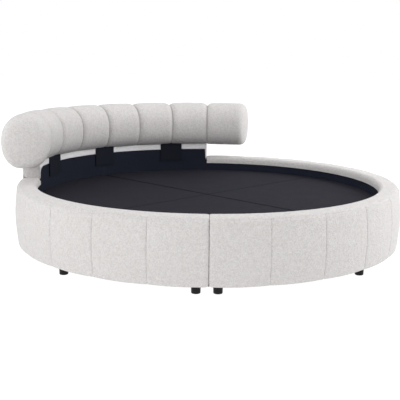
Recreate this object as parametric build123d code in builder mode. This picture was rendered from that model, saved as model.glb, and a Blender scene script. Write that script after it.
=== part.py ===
"""A round upholstered bed frame: a ring of four quarter rails round a fabric-covered deck, with a low
curved head panel that carries a channelled bolster.

The frame stands on the floor, Z = 0, with the ring's axis on Z and the head towards +Y. Lengths are in
millimetres and angles in degrees, counted anticlockwise from +X as seen from above.
"""

from build123d import *
import os
from math import copysign, cos, degrees, pi, radians, sin, sqrt, tan

os.makedirs("parts", exist_ok=True)

# Ring
outer_radius = 1125  # over the padding
rail_width = 115  # padded outer face to inner lip
rail_height = 375  # floor to padded top
foot_height = 40  # floor to the rail's underside
joint_gap = 3  # between two quarter rails
panel_count = 6  # sewn panels on a quarter rail
quarter_span = 90
quarter_middles = {"right": 0, "head": 90, "left": 180, "foot": 270}
joint_angles = {"head_right": 45, "head_left": 135, "foot_left": 225, "foot_right": 315}

# Padding of the rails
rail_padding = 22  # foam and boucle on the outer face and the top
lip_thickness = 4  # boucle turned over the inner edge
lip_depth = 47
outer_edge_radius = 30
inner_edge_radius = 26
rail_seam_depth = 5  # how far a sewn seam draws the outer face in
rail_seam_top_share = 0.8  # as much of that depth as shows on the top
panel_section_shares = (0, 0.2, 0.6)  # of the way from a seam to the panel's middle
crown_fullness = 2  # exponent of a sewn panel's crown, where 2 is round
corner_steps = 4  # flats in each rounded edge

# Timber and boards of the rails
skin_thickness = 9  # bent plywood
former_thickness = 15
end_post_thickness = 45
batten_thickness = 18
dust_cover_thickness = 1.5
glue_line = 0.3  # between glued or stapled pieces
fit_gap = 0.3  # between pieces that seat on each other

# Feet
foot_radius = 23.5
foot_inset = 50  # ring's outer face to a foot's middle
first_foot_from_joint = 45  # a rail's first foot to the joint before it, along the ring
last_foot_from_joint = 60
middle_foot_offset = 31  # beside the middle former

# Deck
deck_recess = 95  # ring's top to the fabric on the deck
deck_edge_gap = 6  # deck's rim to the lip
deck_seam_gap = 3
deck_fabric = 1.5
deck_board = 15
stiffener_width = 45
stiffener_height = 30
stiffener_count = 2  # under each quarter of the deck, evenly spaced
stiffener_clearance = 12  # to the beams and the ledger
ledger_depth = 30
ledger_height = 45
ledger_length = 150
quadrant_starts = {"head_right": 0, "head_left": 90, "foot_left": 180, "foot_right": 270}

# Cross beams, their hangers and legs
beam_width = 60
beam_height = 90
hanger_steel = 3
hanger_cheek_height = 40
hanger_reach = 75
leg_size = 50
leg_pad_size = 36
leg_pad_height = 8

# Joint plates across the rails' joints, and coach screws
plate_steel = 4
plate_width = 90
plate_height = 60
plate_level = 130  # floor to the plate's middle
plate_screw_inset = 22  # plate's middle to its screws
screw_radius = 4
screw_hole_radius = 4.5
screw_sides = 8  # flats round a shank and its hole
screw_length = 38
screw_head_width = 13
screw_head_height = 5.5

# Head panel
head_panel_height = 99  # ring's top to the panel's top
head_foam = 17  # foam and boucle on the outer face
head_top_foam = 4
head_end_foam = 6
head_edge_radius = 10
head_rail_edge_radius = 8  # of the head rail's cover, under the panel
strip_thickness = 2  # boucle turned over the panel's inner face
strip_depth = 44
head_post_size = 45
head_post_bottom = 95
head_post_offsets = (-37.5, -7.5, 7.5, 37.5)  # in degrees from the head's middle

# Bolster
bolster_width = 274
bolster_height = 300
bolster_sink = 8  # how far the panel's top presses into its underside
bolster_squareness = 2.2  # exponent of the section's outline, where 2 is an ellipse
bolster_sides = 24
bolster_span = 120
channel_count = 8
channel_depth = 20  # how far a channel's seam is drawn in
channel_fullness = 3  # exponent of a channel's crown, where 2 is round
channel_section_shares = (0, 0.12, 0.35)  # of the way from a seam to the channel's middle
bolster_end_radius = 48
bolster_end_fullness = 2  # exponent of the end's rounding, where 2 is round
bolster_end_shares = (0, 0.08, 0.3, 0.6, 1)  # of the end's radius
core_rise = 45  # bolster's underside to its core
core_width = 106
core_height = 140
core_end_foam = 62
fixing_offsets = {"right": -30, "middle": 0, "left": 30}  # in degrees from the head's middle
fixing_width = 155
fixing_neck_width = 112
fixing_thickness = 5
fixing_corner_radius = 8  # at the shoulders
fixing_shoulder_drop = 1  # panel's top to where the plate narrows to its neck
fixing_height = 123  # below its neck
fixing_neck_height = 118

overrun = 5  # how far a cutting solid runs past what it cuts

# Worked out from the sizes above
inner_radius = outer_radius - rail_width
wall_back = outer_radius - rail_padding
lip_back = inner_radius + lip_thickness
rail_middle = (lip_back + wall_back) / 2
frame_outer = wall_back - fit_gap
frame_top = rail_height - rail_padding - fit_gap
frame_bottom = foot_height + dust_cover_thickness
lining_face = lip_back + fit_gap
lining_back = lining_face + skin_thickness
joint_half_angle = degrees(joint_gap / 2 / outer_radius)
rail_span = quarter_span - 2 * joint_half_angle
panel_angle = quarter_span / panel_count
foot_circle_radius = outer_radius - foot_inset
deck_height = rail_height - deck_recess
deck_radius = inner_radius - deck_edge_gap
deck_underside = deck_height - deck_fabric - deck_board
ledger_outer = lip_back
ledger_inner = ledger_outer - ledger_depth
beam_bottom = deck_underside - beam_height
head_middle = quarter_middles["head"]
head_start = head_middle - rail_span / 2
head_top = rail_height + head_panel_height
head_inner = lip_back - strip_thickness
head_frame_outer = frame_outer
head_outer = head_frame_outer + fit_gap + head_foam
head_frame_top = head_top - head_top_foam - fit_gap
head_cover_angle = degrees(head_end_foam / inner_radius)
head_frame_angle = degrees((head_end_foam + fit_gap) / inner_radius)
bolster_radius = (head_inner + head_outer) / 2
bolster_level = head_top - bolster_sink + bolster_height / 2
fixing_outer = head_inner - fit_gap
fixing_inner = fixing_outer - fixing_thickness
fixing_shoulder = head_top - fixing_shoulder_drop
fixing_bottom = fixing_shoulder - fixing_height
fixing_top = fixing_shoulder + fixing_neck_height
core_inner = fixing_outer + fit_gap
core_outer = core_inner + core_width
core_bottom = bolster_level - bolster_height / 2 + core_rise
core_top = core_bottom + core_height
channel_angle = bolster_span / channel_count
bolster_start = head_middle - bolster_span / 2


def finish(builder, name):
    """Labels a finished piece and writes it."""
    builder.part.label = name
    export_step(builder.part, f"parts/{name}.step")


def outward(angle):
    return Vector(cos(radians(angle)), sin(radians(angle)), 0)


def radial_plane(angle):
    """The upright plane through the ring's axis at this angle, with x outward and y up."""
    return Plane(origin=(0, 0, 0), x_dir=outward(angle), z_dir=outward(angle).cross(Vector(0, 0, 1)))


def level_plane(height, angle=0):
    """The level plane at this height, with x outward at this angle."""
    return Plane.XY.offset(height).rotated((0, 0, angle))


def facing_plane(radius, angle, height):
    """The upright plane that faces outward at this radius, angle and height, with x sideways and y up."""
    sideways = Vector(0, 0, 1).cross(outward(angle))
    return Plane(origin=outward(angle) * radius + Vector(0, 0, height), x_dir=sideways, z_dir=outward(angle))


def chord_distance(radius, half_width):
    """From the axis to a flat of this half width that lies inside a circle of this radius."""
    return sqrt(radius**2 - half_width**2)


def ring_sector(inner, outer, low, high, start, span, mode=Mode.ADD):
    """A sector of a ring of rectangular section."""
    with BuildSketch(radial_plane(start)) as section:
        with Locations(((inner + outer) / 2, (low + high) / 2)):
            Rectangle(outer - inner, high - low)
    revolve(section.sketch, axis=Axis.Z, revolution_arc=span, mode=mode)


def former(angle, thickness, inner, outer, low, high):
    """A flat board across the carcass, standing on a radius."""
    with BuildSketch(radial_plane(angle)) as section:
        with Locations(((inner + outer) / 2, (low + high) / 2)):
            Rectangle(outer - inner, high - low)
    extrude(section.sketch, amount=thickness / 2, both=True)


def batten(first, second, inner, outer, low, high):
    """A straight timber with mitred ends between two formers, each given by its angle and thickness."""
    half = (second[0] - first[0]) / 2
    near, far = inner, outer * cos(radians(half))

    def end(distance, thickness):
        return distance * tan(radians(half)) - (thickness / 2 + glue_line) / cos(radians(half))

    with BuildSketch(level_plane(low, first[0] + half)) as outline:
        with BuildLine():
            Polyline(
                (near, -end(near, first[1])),
                (far, -end(far, first[1])),
                (far, end(far, second[1])),
                (near, end(near, second[1])),
                close=True,
            )
        make_face()
    extrude(outline.sketch, amount=high - low)


def carcass(formers, inner, outer, low, high, open_below=(), open_above=()):
    """Formers, with a straight batten at the bottom and the top of each bay apart from the open ones."""
    for angle, thickness in formers:
        former(angle, thickness, inner, outer, low, high)
    for bay, (first, second) in enumerate(zip(formers, formers[1:])):
        if bay not in open_below:
            batten(first, second, inner, outer, low, low + batten_thickness)
        if bay not in open_above:
            batten(first, second, inner, outer, high - batten_thickness, high)


def formers_between(start, span, pitch, radius, end_thickness):
    """Formers on the sewn seams and one inside each end, as pairs of angle and thickness."""
    count = round(span / pitch)
    middle = start + span / 2
    inset = degrees(end_thickness / 2 / radius)
    on_seams = [(middle + (i - count / 2) * pitch, former_thickness) for i in range(1, count)]
    return [(start + inset, end_thickness)] + on_seams + [(start + span - inset, end_thickness)]


def coach_screws(plane, places):
    """Coach screws whose hexagon heads bear on the plane, with their shanks going outward."""
    with BuildSketch(plane) as heads:
        with Locations(*places):
            RegularPolygon(screw_head_width / 2, 6, major_radius=False)
    extrude(heads.sketch, amount=-screw_head_height)
    with BuildSketch(plane) as shanks:
        with Locations(*places):
            RegularPolygon(screw_radius, screw_sides)
    extrude(shanks.sketch, amount=screw_length)


def rounded_corner(centre, radius, first, last):
    """Points round a corner, from one angle to another."""
    angles = [first + (last - first) * step / corner_steps for step in range(corner_steps + 1)]
    return [(centre[0] + radius * cos(radians(a)), centre[1] + radius * sin(radians(a))) for a in angles]


def outline_section(angle, points):
    """A closed outline on the upright plane at this angle."""
    with BuildSketch(radial_plane(angle)) as section:
        with BuildLine():
            Polyline(*points, close=True)
        make_face()
    return section.sketch


def rail_section(angle, drawn_in):
    """The rail's section down to its middle: outer wall, rounded top and inner lip, drawn in at a seam."""
    outer, top = outer_radius - drawn_in, rail_height - drawn_in * rail_seam_top_share
    lip_bottom = rail_height - lip_depth
    outer_edge = rounded_corner(
        (outer - outer_edge_radius, top - outer_edge_radius), outer_edge_radius, 0, 90
    )
    inner_edge = rounded_corner(
        (inner_radius + inner_edge_radius, top - inner_edge_radius), inner_edge_radius, 90, 180
    )
    inside = [(inner_radius, lip_bottom), (rail_middle, lip_bottom), (rail_middle, foot_height)]
    return outline_section(angle, [(outer, foot_height)] + outer_edge + inner_edge + inside)


def head_rail_section(angle, drawn_in):
    """The head rail's section down to its middle, with a level top under the head panel."""
    outer, edge = outer_radius - drawn_in, head_rail_edge_radius
    outer_edge = rounded_corner((outer - edge, rail_height - edge), edge, 0, 90)
    inside = [(rail_middle, rail_height), (rail_middle, foot_height)]
    return outline_section(angle, [(outer, foot_height)] + outer_edge + inside)


def bolster_section(angle, drawn_in):
    """The bolster's section, between an ellipse and a rectangle, drawn in at a seam or an end."""
    half_width, half_height = bolster_width / 2 - drawn_in, bolster_height / 2 - drawn_in
    power = 2 / bolster_squareness
    points = []
    for side in range(bolster_sides):
        turn = 2 * pi * (side + 0.5) / bolster_sides
        across, up = cos(turn), sin(turn)
        x = bolster_radius + half_width * copysign(abs(across) ** power, across)
        y = bolster_level + half_height * copysign(abs(up) ** power, up)
        points.append((x, y))
    return outline_section(angle, points)


def sag(share, fullness):
    """How much of a seam's depth is left at this share of the way to the full section."""
    return 1 - (1 - (1 - share) ** fullness) ** (1 / fullness)


def crowned_places(seams, depth, shares, fullness):
    """Pairs of angle and depth for the sections of panels between these seams, each crowned in its middle."""
    places = []
    for first, last in zip(seams, seams[1:]):
        half = (last - first) / 2
        rise = [(first + half * share, depth * sag(share, fullness)) for share in shares]
        fall = [(last - half * share, depth * sag(share, fullness)) for share in reversed(shares[1:])]
        places += rise + [(first + half, 0)] + fall
    return places + [(seams[-1], depth)]


def quadrant(height, start, radius, offset):
    """A quarter disc whose straight sides lie this far from the deck's seams."""
    with BuildSketch(level_plane(height, start)) as outline:
        Circle(radius)
        with Locations((offset, offset)):
            Rectangle(radius, radius, align=(Align.MIN, Align.MIN), mode=Mode.INTERSECT)
    return outline.sketch


head_post_bays = [int((offset + quarter_span / 2) // panel_angle) for offset in head_post_offsets]

# Quarter rails
for quarter, middle in quarter_middles.items():
    start = middle - rail_span / 2
    seams = [middle + (i - panel_count / 2) * panel_angle for i in range(1, panel_count)]
    seams = [start] + seams + [start + rail_span]

    with BuildPart() as rail_frame:
        skin_inner = frame_outer - skin_thickness
        ring_sector(skin_inner, frame_outer, frame_bottom, frame_top, start, rail_span)
        carcass(
            formers_between(start, rail_span, panel_angle, lining_back, end_post_thickness),
            lining_back + glue_line,
            skin_inner - glue_line,
            frame_bottom,
            frame_top,
            open_above=head_post_bays if quarter == "head" else (),
        )
    finish(rail_frame, f"rail_frame_{quarter}")

    with BuildPart() as rail_lining:
        ring_sector(lining_face, lining_back, frame_bottom, frame_top, start, rail_span)
    finish(rail_lining, f"rail_lining_{quarter}")

    with BuildPart() as dust_cover:
        with BuildSketch(level_plane(foot_height)) as outline:
            with BuildLine():
                near = lining_face / cos(radians(panel_angle / 2))
                corners = [outward(angle) * near for angle in seams]
                corners += [outward(angle) * frame_outer for angle in reversed(seams)]
                Polyline(*corners, close=True)
            make_face()
        extrude(outline.sketch, amount=dust_cover_thickness)
    finish(dust_cover, f"dust_cover_{quarter}")

    under_panel = quarter == "head"
    cover_section = head_rail_section if under_panel else rail_section
    hollow_top = rail_height + overrun if under_panel else rail_height - rail_padding
    with BuildPart() as rail_cover:
        places = crowned_places(seams, rail_seam_depth, panel_section_shares, crown_fullness)
        loft([cover_section(angle, depth) for angle, depth in places], ruled=True)
        hollow_start = middle - quarter_span / 2
        ring_sector(
            lip_back,
            wall_back,
            foot_height - overrun,
            hollow_top,
            hollow_start,
            quarter_span,
            mode=Mode.SUBTRACT,
        )
    finish(rail_cover, f"rail_cover_{quarter}")

    with BuildPart() as ledger:
        for first, last in zip(seams, seams[1:]):
            back = chord_distance(ledger_outer, ledger_length / 2)
            with BuildSketch(level_plane(deck_underside, (first + last) / 2)) as outline:
                with Locations((back, 0)):
                    Rectangle(ledger_depth, ledger_length, align=(Align.MAX, Align.CENTER))
            extrude(outline.sketch, amount=-ledger_height)
    finish(ledger, f"ledger_{quarter}")

    with BuildPart() as feet:
        for angle, along in (
            (middle - quarter_span / 2, first_foot_from_joint),
            (middle, middle_foot_offset),
            (middle + quarter_span / 2, -last_foot_from_joint),
        ):
            with Locations(outward(angle + degrees(along / foot_circle_radius)) * foot_circle_radius):
                Cylinder(foot_radius, foot_height, align=(Align.CENTER, Align.CENTER, Align.MIN))
    finish(feet, f"feet_{quarter}")

# Steel plates across the joints
plate_back = chord_distance(lining_face, plate_width / 2) - fit_gap
plate_places = [(-plate_screw_inset, 0), (plate_screw_inset, 0)]
for joint, angle in joint_angles.items():
    with BuildPart() as joint_plate:
        with BuildSketch(facing_plane(plate_back, angle, plate_level)) as outline:
            Rectangle(plate_width, plate_height)
            with Locations(*plate_places):
                RegularPolygon(screw_hole_radius, screw_sides, mode=Mode.SUBTRACT)
        extrude(outline.sketch, amount=-plate_steel)
    finish(joint_plate, f"joint_plate_{joint}")

with BuildPart() as joint_screws:
    for angle in joint_angles.values():
        coach_screws(facing_plane(plate_back - plate_steel, angle, plate_level), plate_places)
finish(joint_screws, "joint_screws")

# Deck quadrants, which lie on the ledgers and the beams and lift straight out
for name, start in quadrant_starts.items():
    with BuildPart() as deck_cover:
        extrude(
            quadrant(deck_underside, start, deck_radius, deck_seam_gap / 2), amount=deck_fabric + deck_board
        )
        extrude(
            quadrant(deck_underside, start, deck_radius - deck_fabric, deck_seam_gap / 2 + deck_fabric),
            amount=deck_board,
            mode=Mode.SUBTRACT,
        )
    finish(deck_cover, f"deck_cover_{name}")

    with BuildPart() as board:
        board_radius = deck_radius - deck_fabric - fit_gap
        board_offset = deck_seam_gap / 2 + deck_fabric + fit_gap
        extrude(quadrant(deck_underside, start, board_radius, board_offset), amount=deck_board)
    finish(board, f"deck_board_{name}")

    with BuildPart() as stiffeners:
        for place in range(1, stiffener_count + 1):
            offset = deck_radius * place / (stiffener_count + 1)
            near = beam_width / 2 + stiffener_clearance
            reach = ledger_inner - stiffener_clearance
            far = chord_distance(reach, offset + stiffener_width / 2)
            with BuildSketch(level_plane(deck_underside, start)) as outline:
                with Locations(((near + far) / 2, offset)):
                    Rectangle(far - near, stiffener_width)
            extrude(outline.sketch, amount=-stiffener_height)
    finish(stiffeners, f"deck_stiffeners_{name}")

# Cross beams, halved into each other at the middle
beam_end = chord_distance(ledger_inner, beam_width / 2) - fit_gap
for name, angle, notch_low in (
    ("cross_beam_side_to_side", 0, beam_bottom + beam_height / 2),
    ("cross_beam_head_to_foot", 90, beam_bottom),
):
    with BuildPart() as cross_beam:
        with BuildSketch(level_plane(beam_bottom, angle)) as outline:
            Rectangle(2 * beam_end, beam_width)
        extrude(outline.sketch, amount=beam_height)
        with BuildSketch(level_plane(notch_low, angle)) as notch:
            Rectangle(beam_width + 2 * fit_gap, beam_width)
        extrude(notch.sketch, amount=beam_height / 2, mode=Mode.SUBTRACT)
    finish(cross_beam, name)

with BuildPart() as beam_hangers:
    cheek = beam_width / 2 + fit_gap
    half_width = cheek + hanger_steel
    hanger_back = chord_distance(lining_face, half_width) - fit_gap
    for angle in quarter_middles.values():
        with BuildSketch(facing_plane(hanger_back - hanger_reach, angle, beam_bottom)) as trough:
            with Locations((0, -hanger_steel)):
                Rectangle(
                    2 * half_width, hanger_cheek_height + hanger_steel, align=(Align.CENTER, Align.MIN)
                )
            Rectangle(2 * cheek, hanger_cheek_height, align=(Align.CENTER, Align.MIN), mode=Mode.SUBTRACT)
        extrude(trough.sketch, amount=hanger_reach)
        with BuildSketch(facing_plane(hanger_back, angle, beam_bottom - hanger_steel)) as back:
            Rectangle(2 * half_width, hanger_cheek_height + hanger_steel, align=(Align.CENTER, Align.MIN))
        extrude(back.sketch, amount=-hanger_steel)
finish(beam_hangers, "beam_hangers")

# Legs under the beams' crossing and the middle of each arm
arm_middle = beam_end / 2
leg_places = [(0, 0), (arm_middle, 0), (-arm_middle, 0), (0, arm_middle), (0, -arm_middle)]
with BuildPart() as support_legs:
    with BuildSketch(level_plane(leg_pad_height)) as outline:
        with Locations(*leg_places):
            Rectangle(leg_size, leg_size)
    extrude(outline.sketch, amount=beam_bottom - leg_pad_height)
finish(support_legs, "support_legs")

with BuildPart() as leg_pads:
    with BuildSketch(level_plane(0)) as outline:
        with Locations(*leg_places):
            Rectangle(leg_pad_size, leg_pad_size)
    extrude(outline.sketch, amount=leg_pad_height)
finish(leg_pads, "leg_pads")

# Head panel, whose posts drop into the head rail
head_frame_start = head_start + head_frame_angle
head_frame_span = rail_span - 2 * head_frame_angle

with BuildPart() as head_frame:
    skin_inner = head_frame_outer - skin_thickness
    ring_sector(skin_inner, head_frame_outer, frame_top, head_frame_top, head_frame_start, head_frame_span)
    carcass(
        formers_between(head_frame_start, head_frame_span, panel_angle, lining_back, former_thickness),
        lining_back + glue_line,
        skin_inner - glue_line,
        frame_top,
        head_frame_top,
        open_below=head_post_bays,
    )
finish(head_frame, "head_panel_frame")

post_inner = lining_back + glue_line
post_top = head_frame_top - batten_thickness - glue_line
with BuildPart() as head_posts:
    for offset in head_post_offsets:
        with BuildSketch(level_plane(head_post_bottom, head_middle + offset)) as outline:
            with Locations((post_inner + head_post_size / 2, 0)):
                Rectangle(head_post_size, head_post_size)
        extrude(outline.sketch, amount=post_top - head_post_bottom)
finish(head_posts, "head_panel_posts")

with BuildPart() as head_lining:
    ring_sector(lining_face, lining_back, frame_top, head_frame_top, head_frame_start, head_frame_span)
finish(head_lining, "head_panel_lining")

with BuildPart() as head_cover:
    ring_sector(head_inner, head_outer, frame_top, head_top, head_start, rail_span)
    uprights = head_cover.edges().filter_by(Axis.Z)
    fillet(uprights.sort_by_distance((0, 0, 0))[-2:], radius=head_edge_radius)
    cavity_start = head_start + head_cover_angle
    cavity_span = rail_span - 2 * head_cover_angle
    cavity_outer = head_frame_outer + fit_gap
    for inner, high in (
        (lip_back, head_top - head_top_foam),
        (head_inner - overrun, head_top - strip_depth),
    ):
        low = frame_top - overrun
        ring_sector(inner, cavity_outer, low, high, cavity_start, cavity_span, mode=Mode.SUBTRACT)
    ring_sector(
        frame_outer,
        head_outer + overrun,
        frame_top - overrun,
        rail_height + fit_gap,
        head_start - joint_half_angle,
        rail_span + 2 * joint_half_angle,
        mode=Mode.SUBTRACT,
    )
finish(head_cover, "head_panel_cover")

# Bolster, which rests on the head panel and is held by three plates
core_start = bolster_start + degrees(core_end_foam / bolster_radius)
core_span = bolster_span - 2 * degrees(core_end_foam / bolster_radius)
with BuildPart() as bolster_core:
    carcass(
        formers_between(core_start, core_span, channel_angle, core_inner, former_thickness),
        core_inner,
        core_outer,
        core_bottom,
        core_top,
    )
finish(bolster_core, "bolster_core")

for name, offset in fixing_offsets.items():
    angle = head_middle + offset
    with BuildPart() as fixing:
        plate_span = degrees(fixing_width / fixing_inner)
        ring_sector(
            fixing_inner, fixing_outer, fixing_bottom, fixing_shoulder, angle - plate_span / 2, plate_span
        )
        top_corners = fixing.edges().filter_by(GeomType.LINE).group_by(Axis.Z)[-1]
        fillet(top_corners, radius=fixing_corner_radius)
        neck_span = degrees(fixing_neck_width / fixing_inner)
        ring_sector(fixing_inner, fixing_outer, fixing_shoulder, fixing_top, angle - neck_span / 2, neck_span)
    finish(fixing, f"bolster_fixing_{name}")

channel_seams = [bolster_start + i * channel_angle for i in range(channel_count + 1)]
places = crowned_places(channel_seams, channel_depth, channel_section_shares, channel_fullness)
end_angle = degrees(bolster_end_radius / bolster_radius)
end_places = [
    (end_angle * share, bolster_end_radius * sag(share, bolster_end_fullness))
    for share in bolster_end_shares
]
replaced = len(channel_section_shares)
first_places = [(channel_seams[0] + run, depth) for run, depth in end_places]
last_places = [(channel_seams[-1] - run, depth) for run, depth in reversed(end_places)]
with BuildPart() as bolster:
    sections = first_places + places[replaced:-replaced] + last_places
    loft([bolster_section(angle, depth) for angle, depth in sections], ruled=True)
    bolster_bottom = bolster_level - bolster_height / 2
    ring_sector(
        bolster_radius - bolster_width / 2,
        bolster_radius + bolster_width / 2,
        bolster_bottom - overrun,
        head_top + fit_gap,
        head_start - joint_half_angle,
        rail_span + 2 * joint_half_angle,
        mode=Mode.SUBTRACT,
    )
    core_gap_angle = degrees(fit_gap / bolster_radius)
    ring_sector(
        core_inner - fit_gap,
        core_outer + fit_gap,
        core_bottom - fit_gap,
        core_top + fit_gap,
        core_start - core_gap_angle,
        core_span + 2 * core_gap_angle,
        mode=Mode.SUBTRACT,
    )
    slot_angle = degrees((fixing_neck_width + 2 * fit_gap) / fixing_inner)
    for offset in fixing_offsets.values():
        ring_sector(
            fixing_inner - fit_gap,
            core_inner,
            bolster_bottom - overrun,
            fixing_top + fit_gap,
            head_middle + offset - slot_angle / 2,
            slot_angle,
            mode=Mode.SUBTRACT,
        )
finish(bolster, "bolster_cushion")
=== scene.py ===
"""The round bed's looks: boucle over foam on the quarter rails, the head panel and the channelled bolster,
black cloth on the deck panels and the inner boards, and moulded black feet. Lengths are in metres.
"""

import math

import bpy
import numpy as np
from mathutils import Matrix, Vector, noise


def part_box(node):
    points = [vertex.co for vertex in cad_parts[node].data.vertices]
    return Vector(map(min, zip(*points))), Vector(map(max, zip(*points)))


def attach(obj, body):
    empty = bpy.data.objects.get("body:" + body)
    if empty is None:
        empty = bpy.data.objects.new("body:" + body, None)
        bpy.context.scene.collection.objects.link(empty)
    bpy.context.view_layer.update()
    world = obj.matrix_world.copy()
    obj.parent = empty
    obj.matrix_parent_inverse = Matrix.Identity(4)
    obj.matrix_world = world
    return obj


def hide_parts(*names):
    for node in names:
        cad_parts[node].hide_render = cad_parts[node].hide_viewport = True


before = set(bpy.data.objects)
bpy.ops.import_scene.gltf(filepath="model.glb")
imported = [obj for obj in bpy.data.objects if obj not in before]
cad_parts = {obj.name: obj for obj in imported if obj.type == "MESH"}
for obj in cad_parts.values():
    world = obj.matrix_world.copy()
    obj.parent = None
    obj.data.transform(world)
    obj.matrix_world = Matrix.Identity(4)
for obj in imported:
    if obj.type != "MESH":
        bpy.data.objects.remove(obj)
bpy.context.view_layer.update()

# Degrees round the ring, from the right: each quarter rail's middle, and where each deck quadrant starts
QUARTERS = {"right": 0, "head": 90, "left": 180, "foot": 270}
QUADRANTS = {"head_right": 0, "head_left": 90, "foot_left": 180, "foot_right": 270}
HALF_QUARTER = 45
ROOT = "bed_frame"
NEAR = 0.001  # how close to a face still counts as on it

# The photograph's camera, which looks at the ring's axis with the joint of the foot and left rails in front
CAMERA_AZIMUTH = -45.5
CAMERA_DISTANCE = 4.509
CAMERA_HEIGHT = 1.106
CAMERA_PITCH = 10.83
CAMERA_YAW = -0.58
CAMERA_ROLL = 0.53
CAMERA_LENS = 68.0
SENSOR_WIDTH = 36.0

# Sewing of the rails
QUARTER_PANELS = 6
PANEL_STEPS = 14  # from a seam to the middle of a panel
SEAM_CROWDING = 2.2  # draws those steps towards the seam
RAIL_ARC_STEPS = 12
RAIL_CROWN = 0.0025
RAIL_BULGE = 0.012  # how far the foam swells half way up the wall
RAIL_SEAM_DEPTH = 0.005
RAIL_SEAM_SHOULDER = 0.010
RAIL_END_ROUNDING = 0.022
RAIL_END_DEPTH = 0.011
JOINT_HALF_GAP = 0.0004
WELT_ANGLE = math.radians(37.5)  # on the rounded outer edge, where the top's cloth is sewn to the sides'
WELT_DEPTH = 0.003
WELT_WIDTH = 0.004
TOP_SEAM_SHARE = 0.12  # as much of a seam's depth as shows over the top
TOP_END_SHARE = 0.45  # as much of an end's rounding as shows over the top
BOTTOM_SEAM_SHARE = 0.3
BOTTOM_FADE = 0.025
OUTER_EDGE = 0.030
OUTER_EDGE_UNDER_PANEL = 0.008
INNER_EDGE = 0.026
HEM = 0.006
LIP_DEPTH = 0.047
LIP_THICKNESS = 0.004
LIP_EDGE = LIP_THICKNESS * 0.45
RAIL_PADDING = 0.022
RAIL_LOOPS = (0.0012, 0.012)  # height and size of the lumps in the cloth

# Bolster
CHANNELS = 8
BOLSTER_SPAN = math.radians(120)
BOLSTER_HALF_HEIGHT = 0.150
BOLSTER_SINK = 0.008  # how far below the head panel's top its plain outline would reach
BOLSTER_CLEARANCE = 0.0005  # above the head panel
BOLSTER_LOOPS = (0.0016, 0.014)
SECTION_POINTS = 96
TOP_SQUARENESS = 2.15
UNDERSIDE_SQUARENESS = 2.3
UNDERSIDE_FULLNESS = 0.008
CHANNEL_DEPTH = 0.025
CHANNEL_SHOULDER = 0.044
CHANNEL_CROWN = 0.003
CHANNEL_CROWDING = 1.5
UNDERSIDE_SEAM_SHARE = 0.15  # as much of a seam's depth as shows underneath
PANEL_EDGE_BLEND = 0.004  # over which the underside leaves the head panel at its ends
END_ROUNDING = 0.042
END_DRAW = 0.036
END_DOME = 0.010
END_REACH = 0.014  # how far the filled ends stand proud of the frame's
CAP_RINGS = 12
CAP_CLEARANCE = 0.0005  # between the last ring of an end and the first of the sides

# Head panel
HEAD_EDGE = 0.010
HEAD_HEM = 0.002
HEAD_CLEARANCE = 0.0003  # above the rail
HEAD_STEPS = 60
HEAD_CROWDING = 2.5
HEAD_LOOPS = (0.0010, 0.012)
STRIP_DEPTH = 0.044
END_WRAP = 0.009
RIGHT_FOLD = (0.014, 0.012)  # how far the strip's fold reaches from the right end, and how far down
LEFT_FOLD = (0.085, 0.050)
PANEL_RECESS = 0.018
PANEL_HALF_GAP = 0.0025
PANEL_END_ROUNDING = 0.010
PANEL_END_FADE = 0.02  # above the rail, over which the end's rounding sets in
STRIP_END_SHARE = 0.3  # as much of an end's rounding as shows on the strip

# Deck cloth
DECK_EDGE = 0.0035
DECK_EDGE_STEPS = 5
DECK_EDGE_DROP = 0.0008  # from the middle of the cloth to its edge
DECK_FOLD = 0.002  # height of the fold at the lower edge
DECK_FOLD_INSET = 0.001
DECK_CLEARANCE = 0.0003  # above the ledgers and beams that carry the deck
DECK_TURN_UNDER = 0.02
DECK_ARC_STEPS = 90
DECK_SIDE_STEPS = 60
DECK_RINGS = 24
DECK_RING_SPREAD = 1.3  # draws the rings towards the edge
DECK_MIDDLE_SHARE = 0.45  # of the radius, from both seams to the point that the rings close in on
DECK_INWARD_SHARE = 0.42  # of the radius, about as far as that point lies from the edges
DECK_RIPPLE = 0.0006
DECK_RIPPLE_SCALE = 5
CROSS_HALF_GAP = 0.0015
# Painted shade along the deck's seams: how much narrower it is along the cross seam, how dark it is, and how
# far it reaches
CROSS_SEAM_TAPER = 2.5  # as many times narrower as the cross seam's painted shade is
DECK_SEAM_PAINTED_SHADE_TONE = 0.5
DECK_SEAM_PAINTED_SHADE_REACH = (0.004, 0.014)  # from a seam, where the painted shade is darkest and where it ends

# Black cloth under the rails, and black sheets inside their joints that paint the joints dark as shade and
# stand for cloth over the carcass ends
DUST_COLUMNS = 120
DUST_ROWS = 8
DUST_SAG = 0.0006
END_CLOTH = 0.001
END_CLOTH_GAP = 0.00002  # from the middle of the joint
END_CLOTH_INSET = INNER_EDGE / 4  # from the ring's inner face
END_COLUMNS = 12
END_ROWS = 24

# Feet
FOOT_REACH = 0.05  # points closer than this belong to one foot
FOOT_TAPER = 0.001
FOOT_SOLE_EDGE = 0.004
FOOT_EDGE_STEPS = 6
FOOT_STEP = 0.0004  # by which the foot is narrower below its collar
FOOT_COLLAR = (0.006, 0.005)  # from the top, where the step to the collar starts and ends
FOOT_SIDES = 48
FOOT_WELD = 0.00001

# Light from the surround and the floor
HORIZON_GLOW = 1.0
ZENITH_GLOW = 0.73
GLOW_FADE = (math.sin(math.radians(14)), math.sin(math.radians(36)))
FLOOR_SIZE = 60
FLOOR_COLOUR = (0.08, 0.08, 0.08)
FLOOR_ROUGHNESS = 0.9
FLOOR_GLOW = 1.0

# Lights: name, azimuth from the camera and elevation in degrees, distance and size in metres, power in watts
LIGHTS = (
    ("left_light", -68, 30, 5.0, 3.0, 56),
    ("front_left_light", -35, 20, 5.5, 3.0, 30),
    ("right_light", 94, 30, 5.0, 3.0, 130),
    ("back_light", 150, 40, 5.0, 3.0, 36),
    ("front_light", 5, 35, 6.0, 3.0, 24),
)
LIGHT_CENTRE = Vector((0, 0, 0.3))


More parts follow.
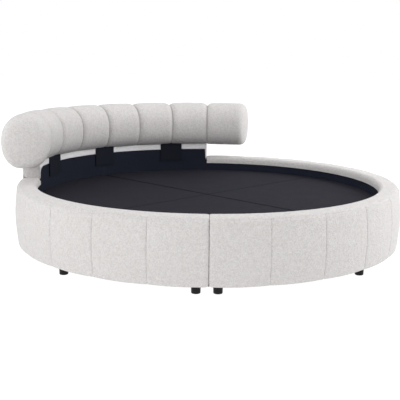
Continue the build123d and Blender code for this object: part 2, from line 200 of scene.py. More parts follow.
def reach(node):
    """Least and most radius, then least and most height, of a CAD node."""
    points = np.array([v.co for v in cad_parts[node].data.vertices])
    radius = np.hypot(points[:, 0], points[:, 1])
    return radius.min(), radius.max(), points[:, 2].min(), points[:, 2].max()


RING_INNER, RING_OUTER, RAIL_BOTTOM, RAIL_TOP = reach("rail_cover_foot")


class Finish:
    """A node material, built step by step."""

    def __init__(self, name):
        self.material = bpy.data.materials.new(name)
        self.material.use_nodes = True
        self.tree = self.material.node_tree
        self.shader = self.tree.nodes["Principled BSDF"]
        self.place = self.add("ShaderNodeTexCoord", {}).outputs["Object"]

    def add(self, kind, inputs, **settings):
        """Adds a node, with each input set to a value or linked to a socket."""
        node = self.tree.nodes.new(kind)
        for key, value in settings.items():
            setattr(node, key, value)
        for key, value in inputs.items():
            if isinstance(value, bpy.types.NodeSocket):
                self.tree.links.new(value, node.inputs[key])
            else:
                node.inputs[key].default_value = value
        return node

    def noise(self, scale, detail=2.0, place=None, distortion=0.0):
        """Smooth noise between 0 and 1."""
        inputs = {"Vector": place or self.place, "Scale": scale, "Detail": detail, "Distortion": distortion}
        return self.add("ShaderNodeTexNoise", inputs).outputs["Fac"]

    def shift(self, amount, scale):
        """The place, pushed about by noise."""
        wander = self.add("ShaderNodeTexNoise", {"Vector": self.place, "Scale": scale}).outputs["Color"]
        centred = self.add("ShaderNodeVectorMath", {0: wander, 1: (0.5, 0.5, 0.5)}, operation="SUBTRACT")
        scaled = self.add("ShaderNodeVectorMath", {0: centred.outputs[0], "Scale": amount}, operation="SCALE")
        return self.add("ShaderNodeVectorMath", {0: self.place, 1: scaled.outputs[0]}).outputs[0]

    def math(self, operation, first, second):
        """One operation on two values."""
        return self.add("ShaderNodeMath", {0: first, 1: second}, operation=operation).outputs[0]

    def between(self, value, low, high, bottom=0.0, top=1.0):
        """The value, stretched from one range to another and held inside it."""
        inputs = {"Value": value, "From Min": low, "From Max": high, "To Min": bottom, "To Max": top}
        return self.add("ShaderNodeMapRange", inputs).outputs["Result"]

    def mix(self, share, first, second):
        """A colour between two others."""
        node = self.add("ShaderNodeMix", {0: share}, data_type="RGBA")
        for index, colour in ((6, first), (7, second)):
            if isinstance(colour, bpy.types.NodeSocket):
                self.tree.links.new(colour, node.inputs[index])
            else:
                node.inputs[index].default_value = (*colour, 1)
        return node.outputs[2]

    def surface(self, colour, roughness, **sockets):
        """Sets or links the shader's sockets."""
        values = {"Base Color": colour, "Roughness": roughness}
        values.update({name.replace("_", " "): value for name, value in sockets.items()})
        for name, value in values.items():
            if isinstance(value, bpy.types.NodeSocket):
                self.tree.links.new(value, self.shader.inputs[name])
            elif isinstance(value, tuple):
                self.shader.inputs[name].default_value = (*value, 1)
            else:
                self.shader.inputs[name].default_value = value

    def bump(self, height, distance, strength):
        """Raises the surface by a height."""
        node = self.add("ShaderNodeBump", {"Height": height, "Distance": distance, "Strength": strength})
        self.tree.links.new(node.outputs["Normal"], self.shader.inputs["Normal"])


def boucle_finish(name, low, high, painted_shade_between_loops):
    """Looped cloth: round loops of two sizes, with painted shade darkening the hollows between them."""
    wander, wander_scale = 0.010, 90
    loop_scale, knot_scale, clump_scale, patch_scale = 150, 330, 60, 5
    loop_share, knot_share, clump_share = -1.0, -0.45, 1.1
    deepest, highest = -0.55, 0.35
    finish = Finish(name)
    place = finish.shift(wander, wander_scale)
    loops = finish.add("ShaderNodeTexVoronoi", {"Vector": place, "Scale": loop_scale}).outputs["Distance"]
    knots = finish.add("ShaderNodeTexVoronoi", {"Vector": place, "Scale": knot_scale}).outputs["Distance"]
    clumps = finish.noise(clump_scale, detail=4)
    loop_part = finish.math("MULTIPLY", loops, loop_share)
    relief = finish.math("ADD", loop_part, finish.math("MULTIPLY", knots, knot_share))
    relief = finish.math("ADD", relief, finish.math("MULTIPLY", clumps, clump_share))
    patches = finish.noise(patch_scale, detail=3)
    pale = finish.mix(patches, low, high)
    # Painted shade: the colour darkens towards the hollows of the relief, between the loops.
    hollow_shade = finish.between(relief, deepest, highest)
    colour = finish.mix(hollow_shade, painted_shade_between_loops, pale)
    finish.surface(colour, roughness=0.95, Sheen_Weight=0.12, Sheen_Roughness=0.6, Specular_IOR_Level=0.15)
    finish.bump(relief, distance=0.0022, strength=0.8)
    return finish.material


def cloth_finish(name, low, high, thread, specular, painted_seam_shade=False):
    """Plain woven black cloth, with shade painted darker along the deck's seams."""
    waviness, worn_scale = 0.6, 7
    weave_share, worn_share, worn_relief = 0.35, 0.65, 2.0
    finish = Finish(name)
    weave = []
    for axis in (0, 1):
        turned = finish.add("ShaderNodeVectorRotate", {"Vector": finish.place, "Angle": axis * math.pi / 2})
        turned.rotation_type = "Z_AXIS"
        threads = {"Vector": turned.outputs[0], "Scale": thread, "Distortion": waviness}
        weave.append(finish.add("ShaderNodeTexWave", threads).outputs["Fac"])
    crossing = finish.math("MAXIMUM", *weave)
    worn = finish.noise(worn_scale, detail=5)
    woven = finish.math("MULTIPLY", crossing, weave_share)
    shade = finish.math("ADD", woven, finish.math("MULTIPLY", worn, worn_share))
    colour = finish.mix(shade, low, high)
    # Painted shade: the cloth is painted darker near the seams, where shade falls in the creases, in a
    # narrower band along the cross seam.
    if painted_seam_shade:
        apart = finish.add("ShaderNodeSeparateXYZ", {0: finish.place}).outputs
        across = [finish.math("ABSOLUTE", apart[axis], 0.0) for axis in (0, 1)]
        from_seam = finish.math("MINIMUM", across[0], finish.math("MULTIPLY", across[1], CROSS_SEAM_TAPER))
        painted_seam_shade_colour = tuple(DECK_SEAM_PAINTED_SHADE_TONE * c for c in low)
        colour = finish.mix(finish.between(from_seam, *DECK_SEAM_PAINTED_SHADE_REACH), painted_seam_shade_colour, colour)
    roughness = finish.between(worn, low=0.2, high=0.8, bottom=0.72, top=0.88)
    finish.surface(colour, roughness, Specular_IOR_Level=specular)
    relief = finish.math("ADD", crossing, finish.math("MULTIPLY", worn, worn_relief))
    finish.bump(relief, distance=0.0004, strength=0.6)
    return finish.material


def wood_finish(name, early, late, layers):
    """Timber grain, with a plywood's layers at this scale where it isn't 0."""
    along_the_grain, grain_scale, grain_bend = (6.0, 6.0, 60.0), 4, 1.5
    layer_share = 0.35
    finish = Finish(name)
    long_way = finish.add("ShaderNodeMapping", {"Vector": finish.place, "Scale": along_the_grain})
    grain = finish.noise(grain_scale, detail=8, place=long_way.outputs[0], distortion=grain_bend)
    colour = finish.mix(grain, early, late)
    if layers:
        inputs = {"Vector": finish.place, "Scale": layers}
        bands = finish.add("ShaderNodeTexWave", inputs, bands_direction="Z")
        colour = finish.mix(finish.math("MULTIPLY", bands.outputs["Fac"], layer_share), colour, late)
    roughness = finish.between(grain, low=0.3, high=0.7, bottom=0.55, top=0.75)
    finish.surface(colour, roughness, Specular_IOR_Level=0.3)
    finish.bump(grain, distance=0.0005, strength=0.5)
    return finish.material


def hard_finish(name, colour, roughness, metallic, specular, grain):
    """Painted, moulded or plated surfaces, with a fine grain and uneven gloss."""
    smudge_scale, smudge_gain, smudge_lift = 18, 1.35, 0.004
    finish = Finish(name)
    pimples = finish.noise(grain, detail=3)
    smudges = finish.noise(smudge_scale, detail=5)
    tint = tuple(min(1.0, c * smudge_gain + smudge_lift) for c in colour)
    gloss = finish.between(smudges, 0.3, 0.7, *roughness)
    finish.surface(finish.mix(smudges, colour, tint), gloss, Metallic=metallic, Specular_IOR_Level=specular)
    finish.bump(pimples, distance=0.0002, strength=0.5)
    return finish.material


BOUCLE = boucle_finish(
    "boucle", low=(0.640, 0.622, 0.614), high=(0.668, 0.655, 0.650), painted_shade_between_loops=(0.525, 0.505, 0.497)
)
# Painted light: a paler copy of the boucle for the strip turned over the head panel's inner board, painted
# brighter to stand in for light on the strip, which lies in the bolster's shade.
STRIP_PAINTED_LIGHT_CLOTH = boucle_finish(
    "strip_painted_light_cloth", low=(0.860, 0.855, 0.870), high=(0.900, 0.895, 0.905), painted_shade_between_loops=(0.760, 0.750, 0.760)
)
DECK_CLOTH = cloth_finish(
    "deck_cloth", (0.015, 0.015, 0.021), (0.026, 0.026, 0.034), thread=260, specular=0.04, painted_seam_shade=True
)
BOARD_CLOTH = cloth_finish(
    "board_cloth", (0.010, 0.011, 0.020), (0.016, 0.019, 0.032), thread=300, specular=0.08
)
PLYWOOD = wood_finish("plywood", (0.56, 0.42, 0.27), (0.40, 0.28, 0.17), layers=90)
TIMBER = wood_finish("timber", (0.60, 0.44, 0.27), (0.42, 0.28, 0.15), layers=0)
BLACK_PLASTIC = hard_finish(
    "black_plastic", (0.006, 0.006, 0.006), roughness=(0.38, 0.55), metallic=0.0, specular=0.15, grain=900
)
BLACK_STEEL = hard_finish(
    "black_steel", (0.006, 0.0075, 0.0135), roughness=(0.65, 0.80), metallic=0.0, specular=0.10, grain=1200
)
ZINC_STEEL = hard_finish(
    "zinc_steel", (0.55, 0.56, 0.58), roughness=(0.30, 0.45), metallic=1.0, specular=0.50, grain=700
)


def unit(vector):
    """The vector at length 1."""
    return vector / np.linalg.norm(vector)


def fillet_loop(corners, arc_steps=6):
    """Points round a closed outline. A corner is its place, its radius and how many steps lead on."""
    arcs = []
    for i, (x, y, radius, _) in enumerate(corners):
        here = np.array((x, y))
        before, after = (np.array(corners[(i + k) % len(corners)][:2]) for k in (-1, 1))
        into, out = unit(here - before), unit(after - here)
        turn = math.acos(np.clip(into @ out, -1, 1))
        run = radius * math.tan(turn / 2)
        if radius == 0:
            arcs.append([here])
            continue
        centre = here + unit(out - into) * radius / math.cos(turn / 2)
        first = here - into * run - centre
        side = math.copysign(1, into[0] * out[1] - into[1] * out[0])
        arc = []
        for step in range(arc_steps + 1):
            c, s = math.cos(side * turn * step / arc_steps), math.sin(side * turn * step / arc_steps)
            arc.append(centre + np.array((c * first[0] - s * first[1], s * first[0] + c * first[1])))
        arcs.append(arc)
    points = []
    for i, arc in enumerate(arcs):
        following, steps = arcs[(i + 1) % len(arcs)][0], corners[i][3]
        points += arc + [arc[-1] + (following - arc[-1]) * k / steps for k in range(1, steps)]
    return np.array(points)


def outward_normals(points):
    """Outward unit normals of a closed outline that runs anticlockwise."""
    along = np.roll(points, -1, 0) - np.roll(points, 1, 0)
    normals = np.stack((along[:, 1], -along[:, 0]), 1)
    return normals / np.linalg.norm(normals, axis=1, keepdims=True)


def piece(name, vertices, faces, finish, body=ROOT, smooth=True):
    """A mesh piece with a finish, riding on a body."""
    mesh = bpy.data.meshes.new(name)
    mesh.from_pydata([tuple(v) for v in vertices], [], faces)
    mesh.validate()
    mesh.polygons.foreach_set("use_smooth", [smooth] * len(mesh.polygons))
    mesh.update()
    made = bpy.data.objects.new(name, mesh)
    bpy.context.scene.collection.objects.link(made)
    made.data.materials.append(finish)
    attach(made, body)
    return made


def band_faces(rows, around, first=0):
    """Faces between closed rows of vertices, the first of which starts at this vertex."""
    faces = []
    for i in range(rows - 1):
        row, following = first + i * around, first + (i + 1) * around
        for j in range(around):
            k = (j + 1) % around
            faces.append((row + j, row + k, following + k, following + j))
    return faces


def grid_faces(columns, rows, first=0):
    """Faces of a flat grid, whose vertices go column by column from this vertex."""
    faces = []
    for i in range(columns):
        for j in range(rows):
            a = first + i * (rows + 1) + j
            faces.append((a, a + 1, a + rows + 2, a + rows + 1))
    return faces


def swept(sections):
    """Vertices and faces of closed sections in a row, each an array of points, with a face at each end."""
    count, around = len(sections), len(sections[0])
    faces = band_faces(count, around)
    faces.append(tuple(reversed(range(around))))
    faces.append(tuple(range((count - 1) * around, count * around)))
    return np.concatenate(sections), faces


def at_angle(points, angle):
    """A section's radius and height pairs, as points in space at this angle."""
    r, z = points[:, 0], points[:, 1]
    return np.stack((r * math.cos(angle), r * math.sin(angle), z), 1)


def soften(target, height, size):
    """Subdivides a piece and gives its cloth lumps of this height and size."""
    finer = target.modifiers.new("finer", "SUBSURF")
    finer.levels = 1
    finer.render_levels = 1
    texture = bpy.data.textures.new(target.name + "_loops", "CLOUDS")
    texture.noise_scale = size
    texture.noise_depth = 2
    lumps = target.modifiers.new("loops", "DISPLACE")
    lumps.texture = texture
    lumps.texture_coords = "GLOBAL"
    lumps.strength = height
    lumps.mid_level = 0.5


def quarter_ends(middle, half_gap):
    """The angles where a quarter of the ring starts and ends, half a gap short of its joints."""
    gap = half_gap / RING_OUTER
    return math.radians(middle - HALF_QUARTER) + gap, math.radians(middle + HALF_QUARTER) - gap


def panel_angles(start, end, panels, steps, crowding):
    """Angles from start to end, crowded near the seams, each with the angle to its nearest seam."""
    width = (end - start) / panels
    places = []
    for panel in range(panels):
        near = [width / 2 * (k / steps) ** crowding for k in range(steps + 1)]
        places += [(start + panel * width + d, d) for d in near]
        places += [(start + (panel + 1) * width - d, d) for d in reversed(near[1:-1])]
    return places + [(end, 0.0)]


def quarter_round(distance, width):
    """How far a rounded edge of this width has fallen away at this distance from it, as a share."""
    left = max(0.0, 1 - distance / width)
    return 1 - math.sqrt(1 - left * left)


def rail_cover(quarter, middle):
    """One quarter rail's boucle, with its sewn panels and rounded ends."""
    under_panel = quarter == "head"
    back = RING_OUTER - RAIL_PADDING
    lip_back, lip_bottom = RING_INNER + LIP_THICKNESS, RAIL_TOP - LIP_DEPTH
    if under_panel:
        corners = [
            (RING_OUTER, RAIL_BOTTOM, HEM, 20),
            (RING_OUTER, RAIL_TOP, OUTER_EDGE_UNDER_PANEL, 2),
            (back, RAIL_TOP, 0, 4),
            (back, RAIL_BOTTOM, 0, 2),
        ]
    else:
        corners = [
            (RING_OUTER, RAIL_BOTTOM, HEM, 18),
            (RING_OUTER, RAIL_TOP, OUTER_EDGE, 6),
            (RING_INNER, RAIL_TOP, INNER_EDGE, 3),
            (RING_INNER, lip_bottom, LIP_EDGE, 1),
            (lip_back, lip_bottom, LIP_EDGE, 2),
            (lip_back, RAIL_TOP - RAIL_PADDING, 0, 4),
            (back, RAIL_TOP - RAIL_PADDING, 0, 4),
            (back, RAIL_BOTTOM, 0, 2),
        ]
    outline = fillet_loop(corners, RAIL_ARC_STEPS)
    normals = outward_normals(outline)
    r, z = outline[:, 0], outline[:, 1]
    on_wall = r > back + NEAR
    shown = on_wall | (z > RAIL_TOP - RAIL_PADDING + 2 * NEAR)
    welt = RAIL_TOP - OUTER_EDGE * (1 - math.sin(WELT_ANGLE))
    over_top = 1.0 if under_panel else np.clip((RAIL_TOP - z) / (RAIL_TOP - welt), TOP_SEAM_SHARE, 1)
    at_bottom = np.clip((z - RAIL_BOTTOM) / BOTTOM_FADE, BOTTOM_SEAM_SHARE, 1)
    seam_weight = np.where(shown, over_top * at_bottom, 0.0)
    crown_weight = np.where(shown, np.clip((r - RING_INNER - INNER_EDGE) / INNER_EDGE, 0, 1), 0.0)
    end_weight = np.where(shown, np.maximum(over_top, TOP_END_SHARE), 0.0)
    if not under_panel:
        from_welt = np.hypot(r - RING_OUTER + OUTER_EDGE * (1 - math.cos(WELT_ANGLE)), z - welt)
        outline = outline - normals * (WELT_DEPTH * np.exp(-((from_welt / WELT_WIDTH) ** 2)))[:, None]
    up_wall = np.clip((z - RAIL_BOTTOM) / (RAIL_TOP - OUTER_EDGE - RAIL_BOTTOM), 0, 1)
    outline = outline + normals * (np.where(on_wall, RAIL_BULGE * np.sin(math.pi * up_wall), 0))[:, None]
    start, end = quarter_ends(middle, JOINT_HALF_GAP)
    half = (end - start) / QUARTER_PANELS / 2
    sections = []
    for angle, from_seam in panel_angles(start, end, QUARTER_PANELS, PANEL_STEPS, SEAM_CROWDING):
        from_end = min(angle - start, end - angle) * RING_OUTER
        fall = crown_weight * RAIL_CROWN * (1 - from_seam / half) ** 2
        if from_end < half * RING_OUTER:
            fall = fall + end_weight * RAIL_END_DEPTH * quarter_round(from_end, RAIL_END_ROUNDING)
        else:
            flank = quarter_round(from_seam * RING_OUTER, RAIL_SEAM_SHOULDER)
            fall = fall + seam_weight * RAIL_SEAM_DEPTH * flank
        sections.append(at_angle(outline - normals * fall[:, None], angle))
    made = piece(f"rail_boucle_{quarter}", *swept(sections), BOUCLE)
    soften(made, *RAIL_LOOPS)
    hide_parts(f"rail_cover_{quarter}")


def head_panel():
    """The head panel's boucle, turned over the inner board in a strip and round both ends."""
    inner, outer, _, top = reach("head_panel_cover")
    bottom = RAIL_TOP + HEAD_CLEARANCE
    end_bottom = reach("head_panel_lining")[2]
    strip_bottom = top - STRIP_DEPTH
    start, end = quarter_ends(QUARTERS["head"], PANEL_HALF_GAP)
    sections = []
    for angle, _ in panel_angles(start, end, 1, HEAD_STEPS, HEAD_CROWDING):
        from_right, from_left = (angle - start) * inner, (end - angle) * inner
        low = strip_bottom
        recess = PANEL_RECESS
        for distance, (fold_reach, fold_depth) in ((from_right, RIGHT_FOLD), (from_left, LEFT_FOLD)):
            if distance < END_WRAP:
                low, recess = end_bottom, RING_OUTER - RAIL_PADDING - inner
            elif distance < fold_reach:
                fold = fold_depth * quarter_round(distance - END_WRAP, fold_reach - END_WRAP)
                low = min(low, strip_bottom - fold)
        nearest = min(from_right, from_left)
        fall = PANEL_END_ROUNDING * quarter_round(nearest, PANEL_END_ROUNDING)
        corners = [
            (outer, bottom, HEAD_HEM, 10),
            (outer, top, HEAD_EDGE, 8),
            (inner, top, HEAD_EDGE, 4),
            (inner, low, 0, 2),
            (inner + recess, low, 0, 4),
            (inner + recess, bottom, 0, 6),
        ]
        outline = fillet_loop(corners)
        normals = outward_normals(outline)
        weight = np.clip((outline[:, 1] - bottom) / PANEL_END_FADE, 0.0, 1.0)
        on_strip = (outline[:, 0] < inner + PANEL_RECESS + NEAR) & (outline[:, 1] < top - HEAD_EDGE)
        weight = np.where(on_strip, STRIP_END_SHARE, weight)
        sections.append(at_angle(outline - normals * (weight * fall)[:, None], angle))
    made = piece("head_panel_boucle", *swept(sections), BOUCLE)
    # The strip on the inner face gets the paler boucle copy, painted light.
    made.data.materials.append(STRIP_PAINTED_LIGHT_CLOTH)
    for face in made.data.polygons:
        where = face.center
        on_inner_face = math.hypot(where.x, where.y) < inner + NEAR and where.z > strip_bottom - NEAR
        if on_inner_face and len(face.vertices) == 4:
            face.material_index = 1
    soften(made, *HEAD_LOOPS)
    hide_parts("head_panel_cover")


def bolster():
    """The bolster, whose sewn channels swell between their seams."""
    inner, outer, bottom, _ = reach("bolster_cushion")
    half_width, middle = (outer - inner) / 2, (outer + inner) / 2
    panel_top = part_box("head_panel_cover")[1].z
    level = (panel_top - BOLSTER_SINK) + BOLSTER_HALF_HEIGHT
    rest = panel_top + BOLSTER_CLEARANCE
    start, end = (math.pi - BOLSTER_SPAN) / 2, (math.pi + BOLSTER_SPAN) / 2
    channel = BOLSTER_SPAN / CHANNELS
    end_run = END_REACH / middle
    unit_outline = []
    for k in range(SECTION_POINTS):
        t = 2 * math.pi * (k + 0.5) / SECTION_POINTS
        power = 2 / (TOP_SQUARENESS if t < math.pi else UNDERSIDE_SQUARENESS)
        across, up = abs(math.cos(t)) ** power, abs(math.sin(t)) ** power
        unit_outline.append((math.copysign(across, math.cos(t)), math.copysign(up, math.sin(t))))
    unit_outline = np.array(unit_outline)
    facing_down = np.clip(-unit_outline[:, 1], 0, 1) ** 2
    seam_weight = 1 - (1 - UNDERSIDE_SEAM_SHARE) * facing_down
    fuller_below = np.where(unit_outline[:, 1] < 0, 1 + UNDERSIDE_FULLNESS / BOLSTER_HALF_HEIGHT, 1.0)

    def section(angle, draw, notch=0.0, share=1.0):
        """The outline at an angle, drawn in all round and notched by a seam."""
        drawn = (draw + notch * seam_weight)[:, None]
        size = (np.array((half_width, BOLSTER_HALF_HEIGHT)) - drawn) * share
        points = unit_outline * size
        points[:, 1] *= fuller_below
        points += np.array((middle, level))
        past_panel = (abs(angle - math.pi / 2) - math.radians(HALF_QUARTER)) * middle
        over_panel = 1 / (1 + math.exp(past_panel / PANEL_EDGE_BLEND))
        floor = bottom + (rest - bottom) * over_panel
        points[:, 1] = np.maximum(points[:, 1], floor)
        return at_angle(points, angle)

    def cap(edge, side):
        """Rings from the middle of a domed end to its edge."""
        rings = []
        for k in range(1, CAP_RINGS + 1):
            share = k / CAP_RINGS
            bulge = END_DOME * (1 - share**2) - END_DOME
            rings.append(section(edge - side * (end_run + bulge / middle), END_DRAW, share=share))
        return rings

    sides = []
    for angle, from_seam in panel_angles(start, end, CHANNELS, PANEL_STEPS, CHANNEL_CROWDING):
        from_end = min(angle - start, end - angle)
        in_end_channel = from_end < channel / 2
        if in_end_channel:
            stretched = from_end * (1 + 2 * end_run / channel)
            angle += (from_end - stretched + end_run) * (1 if angle > math.pi / 2 else -1)
            from_end = stretched
        draw = CHANNEL_CROWN * (1 - from_seam / (channel / 2)) ** 2
        notch = 0.0
        if in_end_channel:
            from_cap = from_end * middle - END_DOME
            if from_cap <= CAP_CLEARANCE:
                continue
            draw += END_DRAW * quarter_round(from_cap, END_ROUNDING)
        else:
            notch = CHANNEL_DEPTH * quarter_round(from_seam * middle, CHANNEL_SHOULDER)
        sides.append(section(angle, draw, notch))
    made = piece("bolster_boucle", *swept(cap(start, 1) + sides + cap(end, -1)[::-1]), BOUCLE)
    soften(made, *BOLSTER_LOOPS)
    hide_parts("bolster_cushion")


def deck_panel(name, start):
    """Cloth stretched over one quarter of the deck and turned under its edges."""
    low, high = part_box(f"deck_cover_{name}")
    radius, top, bottom = reach(f"deck_cover_{name}")[1], high.z, low.z
    side = min(abs(low.x), abs(high.x))
    side_x, side_y = (side, CROSS_HALF_GAP) if start in (0, 180) else (CROSS_HALF_GAP, side)
    arc_start, arc_end = math.asin(side_y / radius), math.acos(side_x / radius)
    arc = [arc_start + (arc_end - arc_start) * k / DECK_ARC_STEPS for k in range(DECK_ARC_STEPS + 1)]
    steps = DECK_SIDE_STEPS
    outline = [(radius * math.cos(a), radius * math.sin(a)) for a in arc]
    outline += [(side_x, radius + (side_y - radius) * k / steps) for k in range(1, steps + 1)]
    outline += [(side_x + (radius - side_x) * k / steps, side_y) for k in range(1, steps)]
    outline = np.array(outline)
    middle = np.array((DECK_MIDDLE_SHARE * radius, DECK_MIDDLE_SHARE * radius))
    size = DECK_INWARD_SHARE * radius
    rings = [
        (DECK_TURN_UNDER, bottom + DECK_CLEARANCE),
        (DECK_FOLD_INSET, bottom + DECK_CLEARANCE),
        (0.0, bottom + DECK_FOLD),
        (0.0, top - DECK_EDGE),
    ]
    for k in range(1, DECK_EDGE_STEPS + 1):
        t = k / DECK_EDGE_STEPS * math.pi / 2
        rings.append((DECK_EDGE * (1 - math.cos(t)), top - DECK_EDGE * (1 - math.sin(t)) - DECK_EDGE_DROP))
    for k in range(1, DECK_RINGS):
        share = k / DECK_RINGS
        rings.append((size * share**DECK_RING_SPREAD, top - DECK_EDGE_DROP * (1 - share) ** 2))
    vertices = []
    for inward, z in rings:
        ring = outline + (middle - outline) * (inward / size)
        for x, y in ring:
            ripple = 0.0
            if z > top - NEAR and inward > DECK_EDGE:
                wave = noise.noise(Vector((x * DECK_RIPPLE_SCALE, y * DECK_RIPPLE_SCALE, start)))
                ripple = DECK_RIPPLE * (wave - 0.5)
            vertices.append((x, y, min(z + ripple, top)))
    around = len(outline)
    faces = band_faces(len(rings), around)
    vertices.append((*middle, top))
    last = (len(rings) - 1) * around
    faces += [(last + j, last + (j + 1) % around, len(vertices) - 1) for j in range(around)]
    spin = Matrix.Rotation(math.radians(start), 3, "Z")
    vertices = [spin @ Vector(v) for v in vertices]
    made = piece(f"deck_cloth_{name}", vertices, faces, DECK_CLOTH, f"deck_{name}")
    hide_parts(f"deck_cover_{name}")


def dust_cloth(quarter, middle):
    """Thin black cloth stretched under one quarter rail."""
    inner, outer, low, high = reach(f"dust_cover_{quarter}")
    start, end = quarter_ends(middle, JOINT_HALF_GAP)
    vertices = []
    for i in range(DUST_COLUMNS + 1):
        angle = start + (end - start) * i / DUST_COLUMNS
        for j in range(DUST_ROWS + 1):
            share = j / DUST_ROWS
            radius = inner + (outer - inner) * share
            slack = math.sin(math.pi * share) * DUST_SAG
            vertices.append((radius * math.cos(angle), radius * math.sin(angle), (low + high) / 2 - slack))
    faces = grid_faces(DUST_COLUMNS, DUST_ROWS)
    made = piece(f"dust_cloth_{quarter}", vertices, faces, BOARD_CLOTH)
    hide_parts(f"dust_cover_{quarter}")


def joint_shade_cloths(quarter, middle):
    """Black cloth over both ends of a quarter rail's carcass, inside the joints, set close to each joint's
    middle so that it closes the gap and paints the joint dark as shade.
    """
    near, far = RING_INNER + END_CLOTH_INSET, RING_OUTER - RAIL_PADDING - END_CLOTH
    low, high = RAIL_BOTTOM + END_CLOTH, RAIL_TOP - RAIL_PADDING - END_CLOTH
    columns, rows = END_COLUMNS, END_ROWS
    layer = (columns + 1) * (rows + 1)
    rim = list(range(rows + 1)) + [i * (rows + 1) + rows for i in range(1, columns + 1)]
    rim += [columns * (rows + 1) + j for j in range(rows - 1, -1, -1)]
    rim += [i * (rows + 1) for i in range(columns - 1, 0, -1)]
    faces = grid_faces(columns, rows) + grid_faces(columns, rows, layer)
    faces += [(a, b, b + layer, a + layer) for a, b in zip(rim, rim[1:] + rim[:1])]
    for name, side in (("first", -1), ("last", 1)):
        joint = math.radians(middle + side * HALF_QUARTER)
        outward = Vector((math.cos(joint), math.sin(joint), 0))
        along = Vector((-math.sin(joint), math.cos(joint), 0))
        vertices = []
        for offset in (END_CLOTH_GAP, END_CLOTH_GAP + END_CLOTH):
            for i in range(columns + 1):
                at = outward * (near + (far - near) * i / columns) - along * (side * offset)
                vertices += [(at.x, at.y, low + (high - low) * j / rows) for j in range(rows + 1)]
        made = piece(f"rail_end_cloth_{quarter}_{name}", vertices, faces, BOARD_CLOTH, smooth=False)


def feet(quarter):
    """The three moulded feet of a quarter rail, slightly tapered, with a softened sole."""
    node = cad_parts[f"feet_{quarter}"]
    points = np.array([v.co for v in node.data.vertices])
    groups = []
    for point in points:
        close = [g for g in groups if np.hypot(*(g[0] - point[:2])) < FOOT_REACH]
        if close:
            close[0].append(point[:2])
        else:
            groups.append([point[:2]])
    low, high = points[:, 2].min(), points[:, 2].max()
    vertices, faces = [], []
    for group in groups:
        corners = np.array(group)
        centre = (corners.min(0) + corners.max(0)) / 2
        radius = (corners.max(0) - corners.min(0)).max() / 2
        sole = radius - FOOT_TAPER
        profile = [(0.0, low), (sole - FOOT_SOLE_EDGE, low)]
        for k in range(1, FOOT_EDGE_STEPS + 1):
            t = k / FOOT_EDGE_STEPS * math.pi / 2
            inward, upward = FOOT_SOLE_EDGE * (1 - math.sin(t)), FOOT_SOLE_EDGE * (1 - math.cos(t))
            profile.append((sole - inward, low + upward))
        step_bottom, step_top = (high - drop for drop in FOOT_COLLAR)
        profile += [(radius - FOOT_STEP, step_bottom), (radius, step_top), (radius, high), (0.0, high)]
        faces += band_faces(len(profile), FOOT_SIDES, len(vertices))
        for r, z in profile:
            for k in range(FOOT_SIDES):
                a = 2 * math.pi * k / FOOT_SIDES
                vertices.append((centre[0] + r * math.cos(a), centre[1] + r * math.sin(a), z))
    made = piece(f"feet_moulded_{quarter}", vertices, faces, BLACK_PLASTIC)
    made.modifiers.new("weld", "WELD").merge_threshold = FOOT_WELD
    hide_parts(f"feet_{quarter}")


def dress_cad_nodes():
    """Gives the CAD nodes that stay in view their finishes, by how their names start."""
    finishes = {
        "rail_lining": BOARD_CLOTH, "head_panel_lining": BOARD_CLOTH, "rail_frame": PLYWOOD,
        "head_panel_frame": PLYWOOD, "deck_board": PLYWOOD, "bolster_core": PLYWOOD, "ledger": TIMBER,
        "deck_stiffeners": TIMBER, "cross_beam": TIMBER, "support_legs": TIMBER, "head_panel_posts": TIMBER,
        "leg_pads": BLACK_PLASTIC, "bolster_fixing": BLACK_STEEL, "joint_plate": ZINC_STEEL,
        "joint_screws": ZINC_STEEL, "beam_hangers": ZINC_STEEL,
    }
    for name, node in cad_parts.items():
        for start, finish in finishes.items():
            if name.startswith(start):
                node.data.materials.clear()
                node.data.materials.append(finish)


def camera():
    """The photograph's camera."""
    azimuth, pitch = math.radians(CAMERA_AZIMUTH), math.radians(CAMERA_PITCH)
    yaw, roll = math.radians(CAMERA_YAW), math.radians(CAMERA_ROLL)
    forward = Vector((math.sin(yaw) * math.cos(pitch), math.cos(yaw) * math.cos(pitch), -math.sin(pitch)))
    right = Vector((math.cos(yaw), -math.sin(yaw), 0))
    up = right.cross(forward)
    rolled_right = right * math.cos(roll) + up * math.sin(roll)
    rolled_up = up * math.cos(roll) - right * math.sin(roll)
    axes = Matrix((rolled_right, rolled_up, -forward)).transposed().to_4x4()
    spin = Matrix.Rotation(azimuth, 4, "Z")
    data = bpy.data.cameras.new("camera")
    data.lens, data.sensor_width = CAMERA_LENS, SENSOR_WIDTH
    made = bpy.data.objects.new("camera", data)
    bpy.context.scene.collection.objects.link(made)
    made.matrix_world = spin @ Matrix.Translation((0, -CAMERA_DISTANCE, CAMERA_HEIGHT)) @ axes
    bpy.context.scene.camera = made


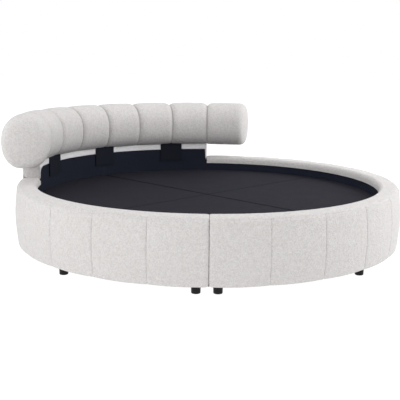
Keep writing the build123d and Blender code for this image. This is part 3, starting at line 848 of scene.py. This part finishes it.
def soft_box(name, azimuth, elevation, distance, size, power):
    """A large soft light that faces the bed."""
    a, e = math.radians(azimuth), math.radians(elevation)
    data = bpy.data.lights.new(name, "AREA")
    data.shape, data.size, data.energy = "SQUARE", size, power
    made = bpy.data.objects.new(name, data)
    bpy.context.scene.collection.objects.link(made)
    back = Vector((math.sin(a) * math.cos(e), -math.cos(a) * math.cos(e), math.sin(e)))
    made.location = back * distance + LIGHT_CENTRE
    made.rotation_mode = "QUATERNION"
    made.rotation_quaternion = back.to_track_quat("Z", "Y")


def studio():
    """A white floor that glows like a light table, a white surround and soft side lights."""
    bpy.ops.mesh.primitive_plane_add(size=FLOOR_SIZE, location=(0, 0, 0))
    floor = bpy.context.object
    floor.name = "floor"
    finish = Finish("pale_floor")
    glow = {"Emission_Color": (1.0, 1.0, 1.0), "Emission_Strength": FLOOR_GLOW}
    finish.surface(FLOOR_COLOUR, FLOOR_ROUGHNESS, **glow)
    floor.data.materials.append(finish.material)
    world = bpy.data.worlds.new("surround")
    bpy.context.scene.world = world
    world.use_nodes = True
    nodes, links = world.node_tree.nodes, world.node_tree.links
    place, height, fade = (nodes.new(f"ShaderNode{kind}") for kind in ("TexCoord", "SeparateXYZ", "MapRange"))
    fade.interpolation_type = "SMOOTHSTEP"
    ends = {"From Min": GLOW_FADE[0], "From Max": GLOW_FADE[1], "To Min": HORIZON_GLOW, "To Max": ZENITH_GLOW}
    for name, value in ends.items():
        fade.inputs[name].default_value = value
    links.new(place.outputs["Generated"], height.inputs[0])
    links.new(height.outputs["Z"], fade.inputs["Value"])
    links.new(fade.outputs["Result"], nodes["Background"].inputs["Strength"])
    nodes["Background"].inputs["Color"].default_value = (1, 1, 1, 1)
    for name, azimuth, elevation, distance, size, power in LIGHTS:
        soft_box(name, CAMERA_AZIMUTH + azimuth, elevation, distance, size, power)


camera()
studio()
dress_cad_nodes()
for quarter, middle in QUARTERS.items():
    rail_cover(quarter, middle)
    dust_cloth(quarter, middle)
    joint_shade_cloths(quarter, middle)
    feet(quarter)
for name, start in QUADRANTS.items():
    deck_panel(name, start)
head_panel()
bolster()

bpy.context.scene.view_settings.view_transform = "Standard"
